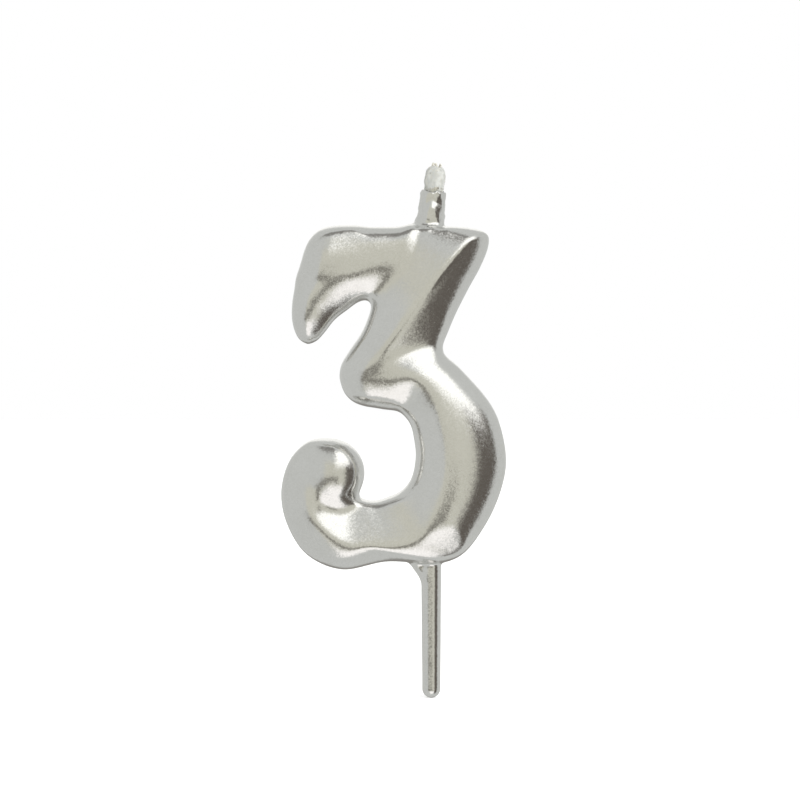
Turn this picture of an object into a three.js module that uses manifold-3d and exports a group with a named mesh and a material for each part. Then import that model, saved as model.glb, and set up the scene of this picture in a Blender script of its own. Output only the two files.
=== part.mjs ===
// Number birthday candle, the figure three.
//
// A moulded paraffin numeral stands on a wooden pick that is pushed into the cake. A plaited cotton wick
// runs down through the numeral, and its upper end stands out of the top in a stub of priming wax. The whole
// candle, apart from the white tip of the stub, is overdipped in one silver film.
//
// Millimetres, +Z up, front face towards -Y. The origin is on the pick's axis, level with the lowest point of
// the numeral, which is where the top of the cake comes.
import * as THREE from "three";
import { mergeVertices } from "three/addons/utils/BufferGeometryUtils.js";
import Module from "manifold-3d";

const wasm = await Module();
wasm.setup();

// ---------------------------------------------------------------- driving dimensions

const FIGURE_HEIGHT = 51.5; // numeral alone, a nominal 2 inch figure
const PICK_LENGTH = 19.3; // from the cake's surface to the end of the dipped pick
const PICK_DIAMETER = 1.96; // bare wood
const PICK_EMBEDDED = 12; // length of wood inside the numeral
const STUB_LENGTH = 9.3; // wick stub above the numeral
const STUB_LEAN = THREE.MathUtils.degToRad(6.5); // the stub leans towards +X
const FILM = 0.25; // silver film over wax and wood
const GAP = 0.2; // play between neighbouring solids
const YARN_RADIUS = 0.22; // one strand of the wick
const PLAIT_WIDTH = 0.62; // swing of a strand to each side of the wick's line
const PLAIT_DEPTH = 0.46; // swing of a strand to the front and back
const PLAIT_PITCH = 9; // wick length in which a strand comes back to its place

// Resolution of the faceted solids.
const AROUND_STROKE = 16;
const AROUND_TURNED = 20;
const AROUND_YARN = 6;
const STEPS_PER_PLAIT = 12;

// ---------------------------------------------------------------- the drawing of the numeral

// The numeral is drawn at its full size on a sheet DRAWN_HEIGHT high, so the drawing's numbers are
// millimetres when FIGURE_HEIGHT equals it. x is 0 on the pick's axis and z is 0 at the numeral's lowest
// point.
const DRAWN_HEIGHT = 51.5;
const drawn = (value) => (value * FIGURE_HEIGHT) / DRAWN_HEIGHT;

// Each stroke of the numeral is a ridge. One station across it gives the edge on the left hand of its
// direction, the crest with its rise above the middle plane, and the edge on the right hand. Curves run
// through the stations.
const station = (left, crest, rise, right) => ({ left, crest, rise, right });
const strokeEnd = (point) => station(point, point, 0, point);

// The flag goes from its hanging tip up the left side and along the top.
const FLAG = [
  strokeEnd([-18.5, 33.5]),
  station([-19.9, 34.5], [-18.5, 34.6], 1.5, [-17.1, 34.2]),
  station([-20.8, 36.8], [-18.4, 36.9], 2.7, [-15.9, 35.5]),
  station([-20.8, 40.5], [-18.0, 40.4], 3.4, [-14.4, 37.4]),
  station([-19.6, 45.2], [-16.6, 42.5], 3.7, [-12.5, 38.9]),
  station([-18.2, 49.3], [-14.6, 43.7], 3.8, [-11.0, 40.0]),
  station([-15.6, 51.2], [-12.0, 44.7], 3.8, [-9.8, 40.4]),
  station([-9.0, 51.4], [-8.8, 45.8], 3.8, [-8.2, 40.2]),
  station([-3.0, 51.4], [-5.0, 46.9], 3.8, [-5.5, 41.0]),
  station([3.5, 51.3], [1.0, 48.0], 3.7, [-0.5, 44.0]),
  station([6.2, 50.5], [4.4, 48.6], 2.8, [3.4, 46.6]),
  strokeEnd([5.8, 49.0]),
];

// The diagonal goes from the top right corner down to the nose on the left.
const DIAGONAL = [
  strokeEnd([7.9, 50.8]),
  station([8.7, 50.0], [7.4, 50.2], 1.5, [6.2, 51.1]),
  station([8.6, 48.2], [6.0, 49.2], 3.0, [3.5, 51.0]),
  station([7.5, 45.4], [3.6, 46.6], 4.3, [-1.0, 50.0]),
  station([5.8, 42.3], [1.0, 43.5], 4.7, [-4.8, 45.8]),
  station([3.9, 38.6], [-2.0, 39.6], 4.8, [-8.0, 40.0]),
  station([2.2, 34.6], [-4.6, 36.1], 4.8, [-10.2, 36.0]),
  station([0.5, 31.0], [-7.2, 32.6], 4.6, [-12.3, 32.6]),
  station([-3.0, 28.5], [-9.4, 29.9], 4.2, [-13.4, 29.6]),
  station([-6.0, 26.6], [-10.2, 27.6], 3.2, [-12.6, 27.2]),
  strokeEnd([-9.6, 25.6]),
];

// The bowl goes from the nose over the top, round the right side, along the foot and up the left side.
const BOWL = [
  strokeEnd([-13.5, 28.8]),
  station([-12.8, 31.0], [-12.0, 28.8], 2.2, [-13.0, 26.6]),
  station([-10.4, 32.6], [-9.6, 28.9], 3.7, [-11.5, 25.0]),
  station([-4.5, 34.0], [-5.6, 29.3], 4.4, [-7.5, 24.0]),
  station([1.7, 32.3], [-2.4, 28.6], 4.7, [-4.7, 23.5]),
  station([6.0, 28.5], [0.1, 26.1], 4.9, [-3.2, 21.8]),
  station([9.8, 23.3], [1.7, 22.0], 5.1, [-2.6, 19.4]),
  station([11.3, 16.5], [2.5, 16.5], 5.2, [-2.4, 16.7]),
  station([10.3, 11.2], [1.9, 11.8], 5.1, [-3.1, 13.5]),
  station([7.9, 6.2], [0.4, 8.0], 4.9, [-4.6, 11.8]),
  station([4.7, 2.3], [-1.2, 5.2], 4.6, [-6.6, 10.9]),
  station([1.5, 1.0], [-4.2, 4.0], 4.4, [-8.4, 10.4]),
  station([-6.5, 1.2], [-8.4, 3.6], 4.3, [-10.4, 10.6]),
  station([-13.5, 0.0], [-12.3, 4.0], 4.3, [-11.5, 11.0]),
  station([-18.7, 2.3], [-15.3, 5.5], 4.3, [-12.5, 11.5]),
  station([-21.7, 7.0], [-17.6, 8.4], 4.2, [-13.5, 12.2]),
  station([-22.5, 12.0], [-18.2, 11.9], 3.9, [-14.2, 13.2]),
  station([-20.8, 17.0], [-17.4, 15.0], 3.3, [-14.6, 14.4]),
  station([-17.4, 19.3], [-16.2, 16.8], 2.4, [-14.8, 15.2]),
  strokeEnd([-14.6, 17.4]),
];

// The ball that ends the bowl is a dome of its own.
const BALL = { x: -15.1, z: 14.5, radius: 5.1, rise: 5.3 };

// How a stroke's surface falls from its crest to its edge: a soft ridge in the middle, upright at the edge.
const CREST_POWER = 1.5;
const crown = (share) => Math.sqrt(Math.max(0, 1 - share ** CREST_POWER));

// ---------------------------------------------------------------- solids

// A closed geometry with its shared vertices merged, as the booleans and the smooth insets need it.
function welded(geometry) {
  const bare = geometry.clone();
  bare.deleteAttribute("normal");
  bare.deleteAttribute("uv");
  return mergeVertices(bare, 1e-4);
}

function solid(geometry) {
  const { attributes, index } = welded(geometry);
  return new wasm.Manifold(
    new wasm.Mesh({
      numProp: 3,
      vertProperties: attributes.position.array,
      triVerts: new Uint32Array(index.array),
    }),
  );
}

const joined = (solids) => solids.reduce((all, next) => all.add(next));

function geometryOf(made) {
  const { vertProperties, triVerts } = made.getMesh();
  const geometry = new THREE.BufferGeometry();
  geometry.setAttribute("position", new THREE.BufferAttribute(vertProperties, 3));
  geometry.setIndex(new THREE.BufferAttribute(triVerts, 1));
  geometry.computeVertexNormals();
  return geometry;
}

// The same surface moved inwards by a depth, each vertex along its own normal.
function inset(geometry, depth) {
  const moved = welded(geometry);
  moved.computeVertexNormals();
  const { position, normal } = moved.attributes;
  for (let i = 0; i < position.count; i++) {
    position.setXYZ(
      i,
      position.getX(i) - depth * normal.getX(i),
      position.getY(i) - depth * normal.getY(i),
      position.getZ(i) - depth * normal.getZ(i),
    );
  }
  return moved;
}

// A curve through the points [x, z], or [x, z] with a rise, that the stations hold.
function rail(points, rises = points.map(() => 0)) {
  return new THREE.CatmullRomCurve3(
    points.map(([x, z], i) => new THREE.Vector3(drawn(x), drawn(rises[i]), drawn(z))),
  );
}

// A stroke is a sphere whose poles are the stroke's ends and whose rings are carried onto its rails.
function strokeGeometry(stations, stepsPerStation) {
  const left = rail(stations.map((s) => s.left));
  const right = rail(stations.map((s) => s.right));
  const crest = rail(
    stations.map((s) => s.crest),
    stations.map((s) => s.rise),
  );
  const form = new THREE.SphereGeometry(1, AROUND_STROKE, (stations.length - 1) * stepsPerStation);
  const { position, uv } = form.attributes;
  for (let i = 0; i < position.count; i++) {
    const along = 1 - uv.getY(i);
    const turn = 2 * Math.PI * uv.getX(i);
    const across = Math.cos(turn);
    const share = Math.abs(across);
    const top = crest.getPoint(along);
    const edge = (across > 0 ? left : right).getPoint(along);
    const rise = Math.max(0, top.y) * crown(share) * Math.sign(Math.sin(turn));
    position.setXYZ(
      i,
      THREE.MathUtils.lerp(top.x, edge.x, share),
      share > 1 - 1e-9 ? 0 : rise,
      THREE.MathUtils.lerp(top.z, edge.z, share),
    );
  }
  return form;
}

function ballGeometry() {
  const form = new THREE.SphereGeometry(1, AROUND_TURNED, 10);
  form.rotateX(Math.PI / 2);
  form.scale(drawn(BALL.radius), drawn(BALL.rise), drawn(BALL.radius));
  return form.translate(drawn(BALL.x), 0, drawn(BALL.z));
}

// A solid of revolution about +Z from a list of [radius, z], the lowest first, closed onto the axis at both
// ends.
function turned(profile) {
  const lowest = profile[0][1];
  const highest = profile[profile.length - 1][1];
  const points = [[0, lowest], ...profile, [0, highest]].map(([r, z]) => new THREE.Vector2(r, z));
  return new THREE.LatheGeometry(points, AROUND_TURNED).rotateX(Math.PI / 2);
}

// ---------------------------------------------------------------- the parts

// The stub stands on the top of the numeral and leans. Its own profile heights count from the numeral's top.
const STUB_X = -0.25;
const onStub = (geometry) =>
  geometry.rotateY(STUB_LEAN).translate(drawn(STUB_X), 0, FIGURE_HEIGHT);

const strokes = [
  strokeGeometry(FLAG, 2),
  strokeGeometry(DIAGONAL, 2),
  strokeGeometry(BOWL, 3),
  ballGeometry(),
];
const figure = (depth) => joined(strokes.map((stroke) => solid(inset(stroke, depth))));

// The wick's line runs straight up through the numeral and leans with the stub to its cut end above it.
const WICK_FOOT = PICK_EMBEDDED + 2;
const WICK_PROUD = 0.25; // length of cut wick above the stub
function wickLine(foot) {
  const x = drawn(STUB_X);
  const cutEnd = new THREE.Vector3(0, 0, STUB_LENGTH + WICK_PROUD)
    .applyAxisAngle(new THREE.Vector3(0, 1, 0), STUB_LEAN)
    .add(new THREE.Vector3(x, 0, FIGURE_HEIGHT));
  return new THREE.CatmullRomCurve3([
    new THREE.Vector3(x, 0, foot),
    new THREE.Vector3(x, 0, (foot + FIGURE_HEIGHT) / 2),
    new THREE.Vector3(x, 0, FIGURE_HEIGHT),
    cutEnd,
  ]);
}

// One strand of a flat three-strand plait that follows a line in the XZ plane.
class PlaitStrand extends THREE.Curve {
  constructor(line, phase) {
    super();
    this.line = line;
    this.phase = phase;
    this.turns = line.getLength() / PLAIT_PITCH;
  }

  getPoint(t) {
    const angle = 2 * Math.PI * this.turns * t + this.phase;
    const tangent = this.line.getTangentAt(t);
    const side = new THREE.Vector3(tangent.z, 0, -tangent.x);
    const point = this.line.getPointAt(t).addScaledVector(side, PLAIT_WIDTH * Math.sin(angle));
    point.y += PLAIT_DEPTH * Math.sin(2 * angle);
    return point;
  }
}

// A round bar along a curve. A full circle in a shape takes two sides for each of its curve segments.
function bar(path, radius, sides, steps) {
  const section = new THREE.Shape().absarc(0, 0, radius, 0, 2 * Math.PI);
  return new THREE.ExtrudeGeometry(section, {
    extrudePath: path,
    steps,
    curveSegments: sides / 2,
    bevelEnabled: false,
  });
}

function strand(phase) {
  const path = new PlaitStrand(wickLine(WICK_FOOT), phase);
  return bar(path, YARN_RADIUS, AROUND_YARN, Math.round(path.turns * STEPS_PER_PLAIT));
}

// The channel through the wax clears the plait all round and below its end.
const CHANNEL_RADIUS = PLAIT_WIDTH + YARN_RADIUS + 0.75 * GAP;
const wickChannel = solid(bar(wickLine(WICK_FOOT - 2 * GAP), CHANNEL_RADIUS, 12, 20));

// The wooden pick: a round stick with a blunt lower end and a point that was driven up into the wax.
const PICK_RADIUS = PICK_DIAMETER / 2;
const PICK_TIP = FILM + GAP * 1.5; // film and play below the end of the wood
function pickProfile(grow) {
  const low = -PICK_LENGTH + PICK_TIP - grow;
  return [
    [0.55 + grow, low],
    [PICK_RADIUS - 0.1 + grow, low + 0.35],
    [PICK_RADIUS + grow, low + 0.8],
    [PICK_RADIUS + grow, PICK_EMBEDDED - 3],
    [0.35 + grow, PICK_EMBEDDED + grow],
  ];
}

// Priming wax round the upper end of the wick, seated in the numeral and swelling above the film's edge.
const STUB_SEAT = 1.6; // depth of the stub below the numeral's top
const FILM_EDGE = 5.4; // height on the stub where the silver film ends
const STUB_RADIUS = 1.3; // under the film
function stubProfile(grow) {
  return [
    [STUB_RADIUS + grow, -STUB_SEAT - grow],
    [STUB_RADIUS + grow, FILM_EDGE + 0.1],
  ];
}
const STUB_TIP = [
  [STUB_RADIUS + FILM, FILM_EDGE + 0.5],
  [STUB_RADIUS + 0.3, FILM_EDGE + 1.8],
  [STUB_RADIUS + 0.15, STUB_LENGTH - 0.7],
  [STUB_RADIUS - 0.2, STUB_LENGTH],
];

// Outside of the film on the stub, which narrows towards the film's edge.
const FILM_ON_STUB = [
  [1.98, -STUB_SEAT - 1.5],
  [2.0, 1.5],
  [1.95, 3.0],
  [1.82, 4.6],
  [1.68, FILM_EDGE],
];

// Outside of the film on the pick, with the bead that the dip leaves at its round end.
const FILM_ON_PICK = [
  [0.75, -PICK_LENGTH],
  [1.22, -PICK_LENGTH + 0.4],
  [1.46, -PICK_LENGTH + 1.3],
  [1.42, -PICK_LENGTH + 3.5],
  [1.46, -8.0],
  [1.62, -4.0],
  [1.75, -1.5],
  [1.75, 3.5],
];

// The dip gathers in a fillet where the stub and the pick leave the numeral. A fillet is flatter to the front
// and back than to the sides, and most of it lies to the left.
const FILLET_DEPTH = 0.7;
const FILLET_SHIFT = -0.4;
const STUB_FILLET = [
  [2.6, -3.0],
  [3.2, -0.9],
  [3.1, -0.2],
  [2.5, 0.5],
  [2.1, 1.3],
  [1.6, 2.2],
];
const PICK_FILLET = [
  [1.3, -3.2],
  [1.9, -1.8],
  [2.4, -0.5],
  [3.0, 0.5],
  [3.2, 1.6],
  [2.4, 3.4],
];
const fillet = (profile) => turned(profile).scale(1, FILLET_DEPTH, 1).translate(FILLET_SHIFT, 0, 0);

function waxNumeral() {
  return figure(FILM + GAP)
    .subtract(wickChannel)
    .subtract(solid(onStub(turned(stubProfile(GAP)))))
    .subtract(solid(turned(pickProfile(GAP))));
}

function primingWax() {
  return solid(onStub(turned([...stubProfile(0), ...STUB_TIP]))).subtract(wickChannel);
}

function silverFilm() {
  const outside = joined([
    figure(0),
    solid(onStub(turned(FILM_ON_STUB))),
    solid(onStub(fillet(STUB_FILLET))),
    solid(turned(FILM_ON_PICK)),
    solid(fillet(PICK_FILLET)),
  ]);
  const inside = joined([
    figure(FILM),
    solid(onStub(turned([[STUB_RADIUS + GAP, -STUB_SEAT], [STUB_RADIUS + GAP, FILM_EDGE + 1]]))),
    solid(turned(pickProfile(GAP))),
  ]);
  return outside.subtract(inside);
}

// ---------------------------------------------------------------- the assembly

const WAX = new THREE.MeshStandardMaterial({ color: 0xf1efe6, roughness: 0.55, metalness: 0 });
const SILVER = new THREE.MeshStandardMaterial({ color: 0xc9c8c2, roughness: 0.3, metalness: 0.9 });
const COTTON = new THREE.MeshStandardMaterial({ color: 0xeeeadf, roughness: 0.9, metalness: 0 });
const WOOD = new THREE.MeshStandardMaterial({ color: 0xd9bd8c, roughness: 0.7, metalness: 0 });

function part(name, geometry, material) {
  const mesh = new THREE.Mesh(geometry, material);
  mesh.name = name;
  return mesh;
}

const candle = new THREE.Group();
candle.add(
  part("wax_numeral", geometryOf(waxNumeral()), WAX),
  part("silver_film", geometryOf(silverFilm()), SILVER),
  part("wick_priming_wax", geometryOf(primingWax()), WAX),
  part("wooden_pick", turned(pickProfile(0)), WOOD),
);
for (const number of [1, 2, 3]) {
  candle.add(part(`wick_strand_${number}`, strand((2 * Math.PI * number) / 3), COTTON));
}

export default candle;
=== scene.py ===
"""Number birthday candle, the figure three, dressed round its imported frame.

A moulded wax numeral on a wooden pick is overdipped in one silver film, and a stub of white priming wax
holds the wick above it. The dipped surface is worked out as a solid of depth: a sheet holds the numeral's
fullness, the stub and the pick join it with soft fillets, and the film's skin is where that depth is
nothing.
"""

import logging
import math
from dataclasses import astuple, dataclass
from enum import Enum
from typing import Any

import bpy
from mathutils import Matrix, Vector


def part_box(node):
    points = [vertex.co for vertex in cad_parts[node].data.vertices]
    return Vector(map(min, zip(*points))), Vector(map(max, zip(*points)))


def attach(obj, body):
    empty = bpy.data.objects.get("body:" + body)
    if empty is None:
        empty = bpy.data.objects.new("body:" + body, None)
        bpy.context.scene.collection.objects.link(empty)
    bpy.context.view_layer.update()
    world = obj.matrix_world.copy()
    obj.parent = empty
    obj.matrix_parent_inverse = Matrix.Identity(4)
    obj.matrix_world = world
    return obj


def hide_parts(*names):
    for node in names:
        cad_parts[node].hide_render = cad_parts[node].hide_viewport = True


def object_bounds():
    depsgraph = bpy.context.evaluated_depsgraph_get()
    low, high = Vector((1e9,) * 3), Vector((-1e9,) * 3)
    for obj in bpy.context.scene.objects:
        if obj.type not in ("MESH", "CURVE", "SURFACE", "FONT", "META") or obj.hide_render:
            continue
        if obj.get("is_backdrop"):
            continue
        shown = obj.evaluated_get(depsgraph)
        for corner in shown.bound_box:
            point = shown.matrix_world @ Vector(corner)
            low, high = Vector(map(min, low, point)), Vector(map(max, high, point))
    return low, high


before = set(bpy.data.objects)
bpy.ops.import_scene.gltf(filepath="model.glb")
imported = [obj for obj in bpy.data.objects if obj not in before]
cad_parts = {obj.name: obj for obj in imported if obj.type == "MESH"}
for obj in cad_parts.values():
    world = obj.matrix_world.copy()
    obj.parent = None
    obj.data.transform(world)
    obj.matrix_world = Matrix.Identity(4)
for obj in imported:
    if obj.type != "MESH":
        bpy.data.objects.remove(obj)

LOG = logging.getLogger("candle")
BODY = "root"
MM = 0.001

Point = tuple[float, float]
Place = tuple[float, float, float]
Colour = tuple[float, float, float]
Inputs = dict[Any, Any]


# ---------------------------------------------------------------- node trees


class Graph:
    """Adds nodes to a tree and joins them, so that a tree reads like the sum that it works out."""

    def __init__(self, tree: bpy.types.NodeTree) -> None:
        """Start adding to a tree.

        Args:
            tree: the geometry or shader tree.
        """
        self.tree = tree

    def add(self, kind: str, inputs: Inputs | None = None, **settings: Any) -> bpy.types.Node:
        """Add one node.

        Args:
            kind: the node's Blender type.
            inputs: values or wires for its inputs, by name, identifier or number.
            **settings: properties of the node, such as its operation.

        Returns:
            The new node.
        """
        node = self.tree.nodes.new(kind)
        for name, value in settings.items():
            setattr(node, name, value)
        for key, value in (inputs or {}).items():
            self.feed(self.socket_of(node, key), value)
        return node

    def wire(self, kind: str, inputs: Inputs | None = None, out: Any = 0, **settings: Any) -> "Wire":
        """Add one node and take one of its outputs.

        Args:
            kind: the node's Blender type.
            inputs: values or wires for its inputs.
            out: the output's name or number.
            **settings: properties of the node.

        Returns:
            The output as a wire.
        """
        return Wire(self, self.add(kind, inputs, **settings).outputs[out])

    @staticmethod
    def socket_of(node: bpy.types.Node, key: Any) -> bpy.types.NodeSocket:
        """Find an input by its number, its identifier or its name.

        Args:
            node: the node.
            key: the number, identifier or name.

        Returns:
            The input socket.
        """
        if isinstance(key, int):
            return node.inputs[key]
        for socket in node.inputs:
            if socket.identifier == key:
                return socket
        return node.inputs[key]

    def feed(self, socket: bpy.types.NodeSocket, value: Any) -> None:
        """Join a wire to an input, or set the input's own value.

        Args:
            socket: the input.
            value: a wire, a socket or a plain value.
        """
        if isinstance(value, Wire):
            self.tree.links.new(value.socket, socket)
        elif isinstance(value, bpy.types.NodeSocket):
            self.tree.links.new(value, socket)
        else:
            socket.default_value = value

    def math(self, operation: str, *values: Any) -> "Wire":
        """Work out one sum of numbers.

        Args:
            operation: the math node's operation.
            *values: wires or numbers, in the node's order.

        Returns:
            The result.
        """
        return self.wire("ShaderNodeMath", dict(enumerate(values)), operation=operation)

    def vector(self, operation: str, *values: Any, out: Any = 0) -> "Wire":
        """Work out one sum of vectors.

        Args:
            operation: the vector math node's operation.
            *values: wires or vectors, in the node's order.
            out: the output's name or number.

        Returns:
            The result.
        """
        return self.wire("ShaderNodeVectorMath", dict(enumerate(values)), out, operation=operation)

    def dot(self, a: Any, b: Any) -> "Wire":
        """Return the dot product of two vectors."""
        return self.vector("DOT_PRODUCT", a, b, out="Value")

    def length(self, vector: Any) -> "Wire":
        """Return a vector's length."""
        return self.vector("LENGTH", vector, out="Value")

    def scaled(self, vector: Any, factor: Any) -> "Wire":
        """Return a vector times a number."""
        return self.wire("ShaderNodeVectorMath", {0: vector, "Scale": factor}, operation="SCALE")

    def join(self, x: Any, y: Any, z: Any) -> "Wire":
        """Return the vector of three numbers."""
        return self.wire("ShaderNodeCombineXYZ", {0: x, 1: y, 2: z})

    def split(self, vector: Any) -> tuple["Wire", "Wire", "Wire"]:
        """Return the three numbers of a vector."""
        node = self.add("ShaderNodeSeparateXYZ", {0: vector})
        return tuple(Wire(self, socket) for socket in node.outputs)

    def noise(self, place: Any, scale: Any, detail: float) -> "Wire":
        """Return cloudy noise from 0 to 1 at a place."""
        return self.wire("ShaderNodeTexNoise", {"Vector": place, "Scale": scale, "Detail": detail})

    def attribute(self, name: str, kind: str = "FLOAT") -> "Wire":
        """Return the value that the mesh holds under a name."""
        return self.wire("GeometryNodeInputNamedAttribute", {"Name": name}, data_type=kind)

    def marked(self, geometry: Any, name: str, value: Any, domain: str) -> "Wire":
        """Return geometry that holds a number under a name."""
        inputs = {"Geometry": geometry, "Name": name, "Value": value}
        return self.wire("GeometryNodeStoreNamedAttribute", inputs, data_type="FLOAT", domain=domain)

    def blurred(self, value: Any, rounds: Any, kind: str = "FLOAT") -> "Wire":
        """Return a value evened out over the mesh."""
        inputs = {"Value": value, "Iterations": rounds}
        return self.wire("GeometryNodeBlurAttribute", inputs, data_type=kind)

    def nearest(self, mesh: Any, value: Any, place: Any, kind: str = "FLOAT", **group: Any) -> "Wire":
        """Return the value at the point of a mesh's surface that lies nearest to a place."""
        inputs = {"Mesh": mesh, "Value": value, "Sample Position": place} | group
        return self.wire("GeometryNodeSampleNearestSurface", inputs, data_type=kind)

    def group(self, tree: bpy.types.NodeTree, inputs: dict[str, Any], out: Any = 0) -> "Wire":
        """Use another tree as one node.

        Args:
            tree: the other tree.
            inputs: values or wires for its named inputs.
            out: the output's name or number.

        Returns:
            The chosen output.
        """
        kind = "GeometryNodeGroup" if tree.bl_idname == "GeometryNodeTree" else "ShaderNodeGroup"
        node = self.tree.nodes.new(kind)
        node.node_tree = tree
        for key, value in inputs.items():
            self.feed(node.inputs[key], value)
        return Wire(self, node.outputs[out])


@dataclass(frozen=True)
class Wire:
    """One output in a tree. Sums on wires add math nodes."""

    graph: Graph
    socket: bpy.types.NodeSocket

    def __add__(self, other: Any) -> "Wire":
        """Return this plus other."""
        return self.graph.math("ADD", self, other)

    def __sub__(self, other: Any) -> "Wire":
        """Return this less other."""
        return self.graph.math("SUBTRACT", self, other)

    def __rsub__(self, other: Any) -> "Wire":
        """Return other less this."""
        return self.graph.math("SUBTRACT", other, self)

    def __mul__(self, other: Any) -> "Wire":
        """Return this times other."""
        return self.graph.math("MULTIPLY", self, other)

    __radd__ = __add__
    __rmul__ = __mul__

    def __truediv__(self, other: Any) -> "Wire":
        """Return this over other."""
        return self.graph.math("DIVIDE", self, other)

    def clamped(self, low: Any, high: Any) -> "Wire":
        """Return this kept between low and high."""
        return self.graph.math("MINIMUM", self.graph.math("MAXIMUM", self, low), high)

    def mapped(self, low: float, high: float, to_low: float, to_high: float) -> "Wire":
        """Return this carried smoothly from one range to another, and clamped."""
        inputs = {"Value": self, "From Min": low, "From Max": high, "To Min": to_low, "To Max": to_high}
        return self.graph.wire("ShaderNodeMapRange", inputs, interpolation_type="SMOOTHSTEP")


def geometry_tree(
    name: str, sockets: dict[str, str], gives: dict[str, str]
) -> tuple[Graph, dict[str, Wire]]:
    """Make a geometry tree with named inputs and outputs.

    Args:
        name: the tree's name.
        sockets: the kind of each named input.
        gives: the kind of each named output.

    Returns:
        The tree's graph, and the wire of each input.
    """
    tree = bpy.data.node_groups.new(name, "GeometryNodeTree")
    for direction, wanted in (("INPUT", sockets), ("OUTPUT", gives)):
        for label, kind in wanted.items():
            tree.interface.new_socket(label, in_out=direction, socket_type="NodeSocket" + kind)
    graph = Graph(tree)
    source = tree.nodes.new("NodeGroupInput")
    return graph, {label: Wire(graph, source.outputs[label]) for label in sockets}


def finish_tree(graph: Graph, results: dict[str, Any]) -> bpy.types.NodeTree:
    """Join the results to a tree's outputs.

    Args:
        graph: the tree's graph.
        results: a wire for each named output.

    Returns:
        The tree.
    """
    graph.add("NodeGroupOutput", results)
    return graph.tree


def placed(name: str, data: Any) -> bpy.types.Object:
    """Return a new object in the scene that holds the data."""
    made = bpy.data.objects.new(name, data)
    bpy.context.scene.collection.objects.link(made)
    return made


def run_tree(
    name: str, mesh: bpy.types.Mesh, tree: bpy.types.NodeTree, sizes: dict[str, Any]
) -> bpy.types.Object:
    """Run a geometry tree on a mesh and keep the result as a plain mesh.

    Args:
        name: the new object's name.
        mesh: the mesh that goes in.
        tree: the geometry tree.
        sizes: a value for each of the tree's named inputs.

    Returns:
        The finished object, with no modifier.
    """
    form = placed(name + "_form", mesh)
    modifier = form.modifiers.new("build", "NODES")
    modifier.node_group = tree
    items = tree.interface.items_tree
    identifiers = {item.name: item.identifier for item in items if item.in_out == "INPUT"}
    for label, value in sizes.items():
        modifier[identifiers[label]] = value
    made = bpy.data.meshes.new_from_object(form.evaluated_get(bpy.context.evaluated_depsgraph_get()))
    bpy.data.objects.remove(form)
    made.name = name
    return placed(name, made)


# ---------------------------------------------------------------- the drawing of the numeral


@dataclass(frozen=True)
class Face:
    """How a face leaves the crest: the share of the height that it loses by the edge, how much it bends,
    and how much broader than usual the round wall at its edge is."""

    fall: float
    bend: float
    broad: float = 1.0


LEVEL = Face(0.3, 2.6, 1.7)
ROOF = Face(0.5, 1.12, 1.3)
SHORT = Face(0.42, 1.7, 1.6)
DISHED = Face(0.52, 1.0, 1.2)
STEEP = Face(0.62, 1.12, 2.4)
LEANING = Face(0.42, 1.05, 1.6)
SWELLING = Face(0.5, 2.0, 2.2)
ROUNDED = Face(0.45, 1.8, 1.8)
GENTLE = Face(0.4, 1.1)
DROOPING = Face(0.6, 1.75, 1.3)


@dataclass(frozen=True)
class Station:
    """One line across a stroke, in the drawing's millimetres: two edges, and the crest with its rise."""

    left: Point
    crest: Point
    rise: float
    right: Point
    left_face: Face = ROOF
    right_face: Face = ROOF


def stroke_end(point: Point, left_face: Face = ROOF, right_face: Face = ROOF) -> Station:
    """Return the station where a stroke begins or ends."""
    return Station(point, point, 0.0, point, left_face, right_face)


class Stroke(Enum):
    """The figure's strokes, and the shoulder over the flag's corner. The value is the stroke's number."""

    FLAG = 1
    DIAGONAL = 2
    BOWL = 3
    SHOULDER = 4


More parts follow.
